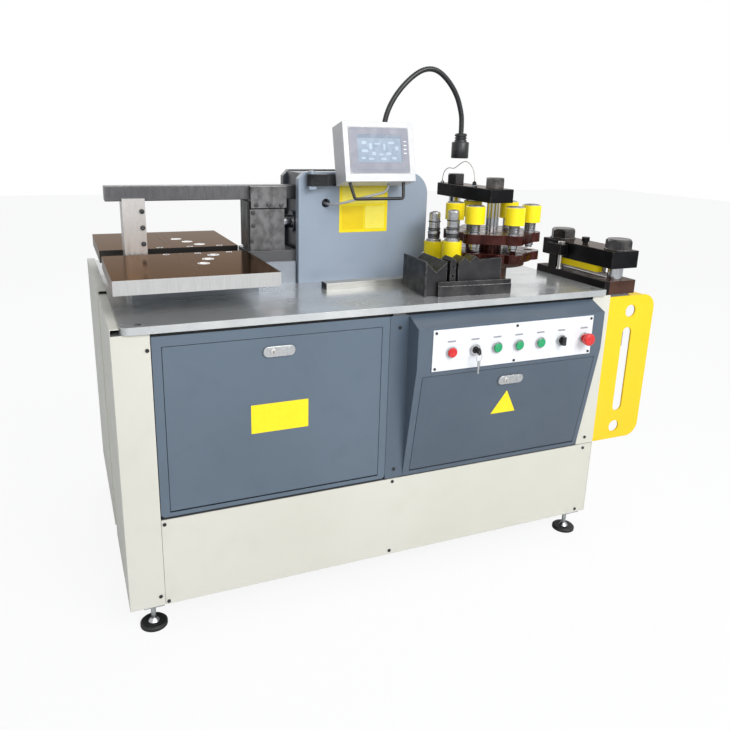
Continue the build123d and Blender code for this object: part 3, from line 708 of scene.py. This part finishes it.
def frame_plate(name, outer, inner, plane, thickness, material, body):
    # A flat frame with an opening
    origin, right, up = plane
    origin = at(*origin)
    right = Vector(right)
    up = Vector(up)
    out = right.cross(up)
    bm = bmesh.new()
    rings = []
    for points, lift in ((inner, 0), (inner, thickness), (outer, thickness), (outer, 0)):
        rings.append([bm.verts.new(origin + (right * u + up * v + out * lift) * MM) for u, v in points])
    join_rings(bm, rings + rings[:1])
    bmesh.ops.recalc_face_normals(bm, faces=bm.faces)
    return new_object(name, as_mesh(name, bm), material, body)


def rounded(x0, x1, y0, y1, radius):
    # Outline of a rectangle with round corners
    points = []
    for cx, cy, start in ((x1 - radius, y0 + radius, -90), (x1 - radius, y1 - radius, 0),
                          (x0 + radius, y1 - radius, 90), (x0 + radius, y0 + radius, 180)):
        for k in range(CORNER_STEPS + 1):
            a = math.radians(start + 90 * k / CORNER_STEPS)
            points.append((cx + radius * math.cos(a), cy + radius * math.sin(a)))
    return points


def socket_screw(name, base, axis, radius, body):
    # A cap screw's head with its hexagon recess, sunk in a ring of painted shade
    seat = [(radius * 1.28, 0.0), (radius * 1.28, 0.25), (radius * 1.06, 0.3), (radius * 1.06, 0.02)]
    cap = [(radius, 0.05), (radius, 0.7), (radius * 0.9, 1.1), (radius * 0.52, 1.1), (radius * 0.5, 0.3),
           (0, 0.3)]
    lathe(name + "_seat", seat, base, axis, RECESS_SHADE, body, 28)
    lathe(name, cap, base, axis, NUT_OXIDE, body, 28)


def nurbs_curve(name, points, resolution):
    # A smooth curve of the third order that starts and ends on its route's ends
    curve = bpy.data.curves.new(name, "CURVE")
    curve.dimensions = "3D"
    curve.resolution_u = resolution
    spline = curve.splines.new("NURBS")
    spline.points.add(len(points) - 1)
    for target, p in zip(spline.points, points):
        target.co = (*p, 1)
    spline.order_u = 3
    spline.use_endpoint_u = True
    made = bpy.data.objects.new(name, curve)
    bpy.context.scene.collection.objects.link(made)
    return made


def smooth_line(points):
    # Points along the smooth line of a route
    holder = nurbs_curve("route", points, 24)
    bpy.context.view_layer.update()
    mesh = bpy.data.meshes.new_from_object(holder)
    line = [v.co.copy() for v in mesh.vertices]
    bpy.data.objects.remove(holder)
    return line


def even(line, step):
    # The same line with points a fixed step apart
    lengths = [0.0]
    for a, b in zip(line, line[1:]):
        lengths.append(lengths[-1] + (b - a).length)
    count = max(2, round(lengths[-1] / step))
    result = []
    i = 0
    for k in range(count + 1):
        target = lengths[-1] * k / count
        while i < len(lengths) - 2 and lengths[i + 1] < target:
            i += 1
        span = lengths[i + 1] - lengths[i]
        t = (target - lengths[i]) / span if span else 0
        result.append(line[i].lerp(line[i + 1], t))
    return result


def ribbed_tube(name, line, radius, depth, pitch, material, steps):
    # A flexible tube, in metres: rings of two alternating radii along the line
    centres = even(line, pitch / 2)
    bm = bmesh.new()
    rings = []
    side = None
    for i, c in enumerate(centres):
        ahead = centres[min(i + 1, len(centres) - 1)]
        behind = centres[max(i - 1, 0)]
        along = (ahead - behind).normalized()
        if side is None:
            side = along.orthogonal().normalized()
        side = (side - along * side.dot(along)).normalized()
        other = along.cross(side)
        r = radius if i % 2 == 0 else radius - depth
        ring = []
        for k in range(steps):
            a = 2 * math.pi * k / steps
            ring.append(bm.verts.new(c + side * r * math.cos(a) + other * r * math.sin(a)))
        rings.append(ring)
    join_rings(bm, rings)
    bm.faces.new(rings[0])
    bm.faces.new(rings[-1])
    bmesh.ops.recalc_face_normals(bm, faces=bm.faces)
    return new_object(name, as_mesh(name, bm), material, smooth=True), centres


# Fields of colour and simple shapes in place of print

FRONT_FACE = ((0, FRONT_EDGE_Y, 0), RIGHT, UP)
HOUSING_FACE = ((0, 385, 0), RIGHT, UP)
NOTICE_FACE = ((0, 384.5, 0), RIGHT, UP)
SLOPE = (CONSOLE_TOP, RIGHT, SLOPE_UP)
plate("toolbox_label", rounded(324, 488, -329, -246, 2), FRONT_FACE, 0.4, LABEL_YELLOW, "toolbox_door")
plate("notice_field", rounded(722, 892, 158, 312, 2), HOUSING_FACE, 0.5, LABEL_YELLOW, "machine")
plate("notice_upper", rounded(732, 882, 250, 302, 2), NOTICE_FACE, 0.15, LABEL_PALE, "machine")
plate("notice_lower", rounded(732, 806, 168, 242, 2), NOTICE_FACE, 0.15, LABEL_DEEP, "machine")
plate("notice_side", rounded(812, 882, 168, 242, 2), NOTICE_FACE, 0.15, LABEL_PALE, "machine")
plate("console_triangle", [(1077, -190), (1167, -190), (1122, -111)], SLOPE, 0.2, LABEL_YELLOW,
      "console_door", 0.05)

# Latches: a key disc, and painted shade in the shape of its slot

console_latch_at = Vector((1107, *CONSOLE_TOP[1:])) - SLOPE_UP * 70 + SLOPE_OUT * 7.5
for latch, place, normal, up in (("toolbox_latch", Vector((387, 0.4, -98)), Vector(FRONTWARD), UP),
                                 ("console_latch", console_latch_at, SLOPE_OUT, SLOPE_UP)):
    lathe(latch + "_disc", [(8, 0), (8, 0.5), (7.2, 0.9), (0, 0.9)], place, normal, PALE_STEEL, latch, 32)
    plate(latch + "_slot", rounded(-0.9, 0.9, -5, 5, 0.8), (place + normal * 0.85, RIGHT, up), 0.15, RECESS_SHADE,
          latch, 0)

# Switch panel: metal collars, legend bars and the spare key on its ring

SWITCHES = {"lamp": 901, "key": 980, "left": 1056, "middle": 1133, "right": 1212, "selector": 1290,
            "stop": 1377}
SWITCH_Z = -133
for label, x in SWITCHES.items():
    lathe("collar_" + label, [(14.6, 0), (17.4, 0), (17.4, 1.2), (16.4, 2.8), (15, 2.8), (14.6, 2.4)],
          (x, -59.9, SWITCH_Z), FRONTWARD, ZINC, "machine", 40, True)
    plate("legend_" + label, rounded(x - 14, x + 14, -104, -99, 1), ((0, -55.5, 0), RIGHT, UP), 0.2,
          LEGEND_GREY, "machine", 0)
lathe("pilot_lens", [(14.4, 0), (14.4, 5), (12.6, 8), (8, 9.3), (0, 9.8)],
      (SWITCHES["lamp"], -60.1, SWITCH_Z), FRONTWARD, RED, "machine", 44)
for label in ("left", "middle", "right"):
    lathe("push_cap_" + label,
          [(9, 0), (13.6, 0), (13.6, 1.7), (12.4, 2.6), (9.6, 2.6), (8.8, 2.2), (0, 2.2)],
          (SWITCHES[label], -63.6, SWITCH_Z), FRONTWARD, GREEN, "green_button_" + label, 44)
lathe("key_ring", ring_profile(13, 0.8), (SWITCHES["key"], -82, -150), (0.35, -0.94, 0), ZINC,
      "switch_key", 36, True)
KEY_OUTLINE = [(-2, 3), (2, 3), (5, 0), (5, -12), (2.6, -14), (2.6, -28), (1.4, -30), (2.6, -32),
               (2.6, -36), (0.5, -38), (-2.6, -36), (-2.6, -14), (-5, -12), (-5, 0)]
plate("spare_key", KEY_OUTLINE, ((SWITCHES["key"], -81, -163), RIGHT, UP), 1.4, ZINC, "switch_key", 0.2)

# Display: bezel, screen with plain shapes, and its indicator

def on_glass(depth, x=0, y=0):
    # A plane beside the glass, with its origin moved along it
    return (Vector(DISPLAY_AT) + GLASS_OUT * depth + GLASS_UP * y + Vector((x, 0, 0)), RIGHT, GLASS_UP)


SCREEN_OUTLINE = (-74, 74, -33, 51)
# Middle, width and height of each shape on the screen
SCREEN_FIELDS = ((-52, 27, 16, 10), (-30, 16, 10, 18), (-8, 24, 20, 6), (16, 14, 8, 20), (40, 27, 22, 8),
                 (58, 10, 12, 12), (-50, 2, 22, 8), (-20, -6, 12, 10), (4, -9, 14, 6), (30, -6, 16, 8),
                 (-56, -20, 14, 7), (-30, -22, 18, 6), (12, -22, 20, 6), (48, -20, 16, 8))
SCREEN_PRINT = 1.16
BEZEL_PRINT = 2.0
frame_plate("display_bezel", rounded(-99.5, 99.5, -64, 72, 6), rounded(*SCREEN_OUTLINE, 2),
            on_glass(1.5), 0.5, BEZEL, "display")
plate("display_screen", rounded(*SCREEN_OUTLINE, 1), on_glass(0.75), 0.4, SCREEN, "display", 0)
plate("screen_top_field", rounded(-72, 72, 41, 49, 1), on_glass(SCREEN_PRINT), 0.1, SCREEN_DEEP,
      "display", 0)
for k, (x, y, wide, high) in enumerate(SCREEN_FIELDS):
    plate(f"screen_field_{k}", rounded(x - wide / 2, x + wide / 2, y - high / 2, y + high / 2, 2),
          on_glass(SCREEN_PRINT), 0.1, SCREEN_PALE, "display", 0)
for k in range(4):
    plate(f"bezel_mark_{k}", rounded(82, 92, 30 - 12 * k, 33 - 12 * k, 1), on_glass(BEZEL_PRINT), 0.1,
          PANEL_WHITE, "display", 0)
plate("bezel_line", rounded(-90, 90, -56, -54.8, 0.5), on_glass(BEZEL_PRINT), 0.1, SCREEN_DEEP, "display", 0)
lathe("display_indicator", [(1.6, 0), (1.6, 0.5), (0, 0.9)], on_glass(BEZEL_PRINT, 87, -46)[0], GLASS_OUT,
      GREEN, "display", 20)

# Socket screws of the bending station and the worktop, and the tables' bore sleeves

for k, (x, y, z) in enumerate(((450, 431, 222), (451, 431, 182), (445, 431, 133))):
    socket_screw(f"ram_block_screw_{k}", (x, y, z), FRONTWARD, 5.4, "ram")
for k, (x, z) in enumerate(((461, 246), (501, 246), (542, 245))):
    socket_screw(f"saddle_screw_{k}", (x, 425, z), FRONTWARD, 5.2, "ram")
for k, z in enumerate((137, 185, 233)):
    socket_screw(f"post_screw_{k}", (117, 436, z), FRONTWARD, 5.6, "machine")
for k, (x, y) in enumerate(((46, 27), (1470, 28), (46, 970), (1452, 972))):
    socket_screw(f"worktop_screw_{k}", (x, y, 0), UP, 7, "machine")
DOWEL_RIM = [(6.9, -1.5), (7.6, 0.05), (9.6, 0.05), (9.6, -0.2), (7.4, -0.2), (6.9, -1.9)]
BORE_SLEEVE = [(4, -7), (14.9, -0.6), (15.2, 0.05), (17.6, 0.05), (17.6, -0.3), (14.6, -2.2), (4, -8)]
for side, sign in (("front", -1), ("back", 1)):
    for k, x in enumerate((177, 271, 367)):
        lathe(f"{side}_dowel_rim_{k}", DOWEL_RIM, (x, TABLES_MIDDLE_Y + sign * 69, TABLE_TOP_Z), UP, BRIGHT,
              "machine", 32, True)
    for k, (x, offset) in enumerate(((310, 109), (281, 175), (255, 243))):
        lathe(f"{side}_bore_sleeve_{k}", BORE_SLEEVE, (x, TABLES_MIDDLE_Y + sign * offset, TABLE_TOP_Z), UP,
              BRIGHT, "machine", 40, True)
lathe("arm_pivot_cap", [(9, 0), (9, 1.2), (7.6, 2.4), (0, 2.4)], (622, 368, 352), UP, ZINC, "machine", 32)

# Cross recesses of the panel screws, as painted shade in a flat cross

CROSS = [(-0.7, -3), (0.7, -3), (0.7, -0.7), (3, -0.7), (3, 0.7), (0.7, 0.7), (0.7, 3), (-0.7, 3),
         (-0.7, 0.7), (-3, 0.7), (-3, -0.7), (-0.7, -0.7)]
COVER_SPOTS = [(63, -64), (59, -776), (80, -556), (80, -796), (760, -552), (759, -792),
               (1489, -557), (1486, -792), (765, -65), (763, -511), (1491, -517)]
for k, (x, z) in enumerate(COVER_SPOTS):
    plate(f"cover_cross_{k}", CROSS, ((x, 5.6, z), RIGHT, UP), 0.1, RECESS_SHADE, "machine", 0)
PANEL_SPOTS = [(849, -73), (1124, -73), (1401, -73), (849, -180), (1121, -181), (1401, -180)]
for k, (x, z) in enumerate(PANEL_SPOTS):
    plate(f"panel_cross_{k}", CROSS, ((x, -57.5, z), RIGHT, UP), 0.1, RECESS_SHADE, "machine", 0)

# Turret: cap screws on the disc, stripper springs and end caps on the punches

def on_turret(radius, degrees):
    a = math.radians(degrees)
    return 1200 + radius * math.cos(a), 230 + radius * math.sin(a)


for k in range(6):
    socket_screw(f"turret_screw_{k}", (*on_turret(84, 60 * k), DISC_TOP_Z), UP, 6, "turret")
WORKING_PLACE = 90
PUNCH_END = [(20, 0), (20, 0.2), (18, 0.38), (8, 0.38), (7.5, 0.14), (0, 0.14)]
for k, degrees in enumerate((30, 90, 150, 210, 270, 330)):
    x, y = on_turret(122, degrees)
    body = "working_punch" if degrees == WORKING_PLACE else "turret"
    for n, z in enumerate((180, 185, 190, 195, 200)):
        lathe(f"punch_spring_{k}_{n}", ring_profile(16.4, 2), (x, y, z), UP, SPRING, body, 36, True)
    lathe(f"punch_cap_{k}", PUNCH_END, (x, y, 259.45), UP, DIE_BLACK, body, 36)

# Radius of each rubber ring on a spare punch, and its height over the stand
SPARE_RINGS = ((18.6, 66), (18.6, 71), (18.6, 75.5), (18.6, 91), (18.6, 96), (18.4, 118))
for k, (x, y, stand) in enumerate(((1023, 297, REAR_STAND), (1018, 172, NEAR_STAND))):
    for n, (radius, z) in enumerate(SPARE_RINGS):
        lathe(f"spare_ring_{k}_{n}", ring_profile(radius, 1.8), (x, y, stand + z), UP, RUBBER, "machine",
              40, True)
    lathe(f"spare_tip_{k}", [(9, 0), (9, 1), (8, 1.6), (0, 1.6)], (x, y, stand + 148.9), UP, DIE_BLACK,
          "machine", 32)

# Lamp: ribbed gooseneck on its foot, and a head with cooling fins and a pale lens

GOOSE_LINE = [(905, 360), (905, 430), (909, 492), (923, 548), (957, 603), (1005, 651), (1052, 679),
              (1100, 679), (1147, 645), (1184, 597), (1204, 540), (1207, 508), (1207, 476)]
LAMP_FOOT = (905, 470, 345)
LAMP_HEAD = (1207, 470, 392)
goose_route = smooth_line([at(x, LAMP_FOOT[1], z) for x, z in GOOSE_LINE])
gooseneck, _ = ribbed_tube("gooseneck_links", goose_route, 0.009, 0.0007, 0.0065, LAMP_BLACK, 24)
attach(gooseneck, "lamp")
FOOT_PROFILE = [(0, -20), (8, -20), (8, 0.4), (15, 0.4), (15, 13), (12.5, 17), (10.5, 24), (0, 24)]
foot = lathe("gooseneck_foot", FOOT_PROFILE, LAMP_FOOT, UP, LAMP_BLACK, "lamp")
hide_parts("gooseneck")
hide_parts("gooseneck")
HEAD_PROFILE = [(9, 84), (17, 84), (21, 80), (21, 74), (18, 73.4), (18, 70.6), (21, 70), (21, 66),
                (18, 65.4), (18, 62.6), (21, 62), (21, 58), (22, 56), (28, 55), (30, 52), (30, 3),
                (28.8, 0), (26.4, 0), (26, 2), (26, 34), (9, 37.5)]
head = lathe("lamp_shell", HEAD_PROFILE, LAMP_HEAD, UP, LAMP_BLACK, "lamp", 48, True)
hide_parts("lamp_head")
lathe("lamp_lens", [(0, 10), (14, 9), (25.8, 6.5), (25.8, 9.5), (14, 12), (0, 13)], LAMP_HEAD, UP, LENS,
      "lamp", 40)

# Conduit from the housing to the display, and the sensor's wire

CONDUIT_ROUTE = [(676, 412, 253), (677, 376, 251), (695, 349, 252), (729, 338, 260),
                 (770, 331, 271), (815, 323, 282), (862, 316.3, 293), (862, 321.9, 316.2)]
CONDUIT_DIAMETER = 0.008
conduit_line = smooth_line([at(*p) for p in CONDUIT_ROUTE])
conduit, conduit_path = ribbed_tube("conduit", conduit_line, CONDUIT_DIAMETER / 2, 0.0005, 0.003,
                                    CONDUIT_GREY, 18)
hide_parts("display_conduit")
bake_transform(conduit)
lathe("conduit_gland", [(5.2, 0), (14, 0), (14, 2.5), (11, 5), (8, 12), (5.2, 12)], (676, 413, 253),
      FRONTWARD, BLACK, "machine", 36, True)

WIRE_ROUTE = [(1172, 308, 322), (1172, 308, 347), (1171, 334, 377), (1170, 371, 388), (1169, 407, 373),
              (1168, 438, 357), (1166, 472, 362), (1164, 506, 341), (1164, 506, 306)]
WIRE_DIAMETER = 0.003
wire = nurbs_curve("sensor_lead", [at(*p) for p in WIRE_ROUTE], 16)
wire.data.bevel_depth = WIRE_DIAMETER / 2
wire.data.bevel_resolution = 4
wire.data.use_fill_caps = True
wire.data.materials.append(WIRE_GREY)
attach(wire, "punch_press")
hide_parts("sensor_wire")
SENSOR_PROFILE = [(0, 0), (6.4, 0), (6.4, 1), (7.2, 1.4), (7.2, 11), (6, 12.5), (3, 16), (1.7, 19), (0, 19)]
lathe("sensor_barrel", SENSOR_PROFILE, (1172, 308, 306), UP, BLACK, "punch_press", 28)
lathe("sensor_nut", [(7.5, 0), (11, 0), (11, 4), (10, 5), (7.5, 5)], (1172, 308, 306.05), UP, ZINC,
      "punch_press", 6, True)
lathe("wire_gland", [(0, 0), (7, 0), (7, 5), (4, 8), (1.7, 12), (0, 12)], (1164, 506, 306), UP, ZINC,
      "punch_press", 28)


# Camera, as fitted to the photograph

CAMERA_AT = (-114.5, -1707.5, 462.5)
CAMERA_YAW = 22.843
CAMERA_PITCH = 15.993
CAMERA_ROLL = 1.235
FOCAL_PIXELS = 695.7
SENSOR = 36
PICTURE = 730
PRINCIPAL = (349.5, 334.4)


def add_camera():
    data = bpy.data.cameras.new("camera")
    data.sensor_width = SENSOR
    data.lens = FOCAL_PIXELS / PICTURE * SENSOR
    data.shift_x = (PICTURE / 2 - PRINCIPAL[0]) / PICTURE
    data.shift_y = (PRINCIPAL[1] - PICTURE / 2) / PICTURE
    data.clip_end = 50
    camera = bpy.data.objects.new("camera", data)
    bpy.context.scene.collection.objects.link(camera)
    yaw = math.radians(CAMERA_YAW)
    pitch = math.radians(CAMERA_PITCH)
    roll = math.radians(CAMERA_ROLL)
    forward = Vector((math.sin(yaw) * math.cos(pitch), math.cos(yaw) * math.cos(pitch), -math.sin(pitch)))
    level = Vector((math.cos(yaw), -math.sin(yaw), 0))
    upward = level.cross(forward)
    right = level * math.cos(roll) + upward * math.sin(roll)
    up = upward * math.cos(roll) - level * math.sin(roll)
    turn = Matrix((right, up, -forward)).transposed().to_4x4()
    camera.matrix_world = Matrix.Translation(at(*CAMERA_AT)) @ turn
    bpy.context.scene.camera = camera


# Light and floor

def area_light(name, place, target, size, power):
    data = bpy.data.lights.new(name, "AREA")
    data.shape = "RECTANGLE"
    data.size, data.size_y = size
    data.energy = power
    lamp = bpy.data.objects.new(name, data)
    bpy.context.scene.collection.objects.link(lamp)
    lamp.location = place
    lamp.rotation_euler = (Vector(target) - Vector(place)).to_track_quat("-Z", "Y").to_euler()


def add_world():
    # Soft, slightly blue light, and a white background for what the camera, metal and glass show
    world = bpy.data.worlds.new("studio")
    bpy.context.scene.world = world
    world.use_nodes = True
    tree = world.node_tree
    tree.nodes.clear()
    output = tree.nodes.new("ShaderNodeOutputWorld")
    soft = tree.nodes.new("ShaderNodeBackground")
    soft.inputs["Color"].default_value = (0.9, 0.95, 1.0, 1)
    soft.inputs["Strength"].default_value = 0.46
    white = tree.nodes.new("ShaderNodeBackground")
    white.inputs["Color"].default_value = (1, 1, 1, 1)
    white.inputs["Strength"].default_value = 1.0
    ray = tree.nodes.new("ShaderNodeLightPath")
    shown = ray.outputs["Is Camera Ray"]
    for kind in ("Is Glossy Ray", "Is Transmission Ray"):
        most = tree.nodes.new("ShaderNodeMath")
        most.operation = "MAXIMUM"
        tree.links.new(shown, most.inputs[0])
        tree.links.new(ray.outputs[kind], most.inputs[1])
        shown = most.outputs[0]
    mix = tree.nodes.new("ShaderNodeMixShader")
    tree.links.new(shown, mix.inputs["Fac"])
    tree.links.new(soft.outputs[0], mix.inputs[1])
    tree.links.new(white.outputs[0], mix.inputs[2])
    tree.links.new(mix.outputs[0], output.inputs["Surface"])


def add_floor():
    # Pale ground that is nearly white to the camera and still takes the machine's shadow
    bm = bmesh.new()
    bmesh.ops.create_grid(bm, x_segments=8, y_segments=8, size=14)
    finish = Finish("floor", (0.86, 0.86, 0.86, 1), 0.0, 0.75)
    finish.tint(finish.noise(3, 2), (0.83, 0.83, 0.83, 1), 0.3)
    glow = finish.node("ShaderNodeEmission")
    glow.inputs["Color"].default_value = (1, 1, 1, 1)
    glow.inputs["Strength"].default_value = 1.0
    ray = finish.node("ShaderNodeLightPath")
    blended = finish.node("ShaderNodeMixShader")
    finish.link(finish.scaled(ray.outputs["Is Camera Ray"], 0.9), blended.inputs["Fac"])
    finish.link(finish.shader.outputs[0], blended.inputs[1])
    finish.link(glow.outputs[0], blended.inputs[2])
    finish.link(blended.outputs[0], finish.tree.nodes["Material Output"].inputs["Surface"])
    new_object("floor", as_mesh("floor", bm), finish.material)


add_camera()
add_world()
area_light("key", (1.2, -3.9, 3.4), (0, 0, 0.6), (2.8, 2.2), 160)
area_light("fill", (-1.6, -4.0, 2.6), (0.2, 0, 0.5), (2.4, 2.4), 36)
area_light("back", (0.6, 3.4, 3.2), (0, 0, 0.8), (3.5, 1.6), 40)
add_floor()
bpy.context.scene.view_settings.view_transform = "Standard"
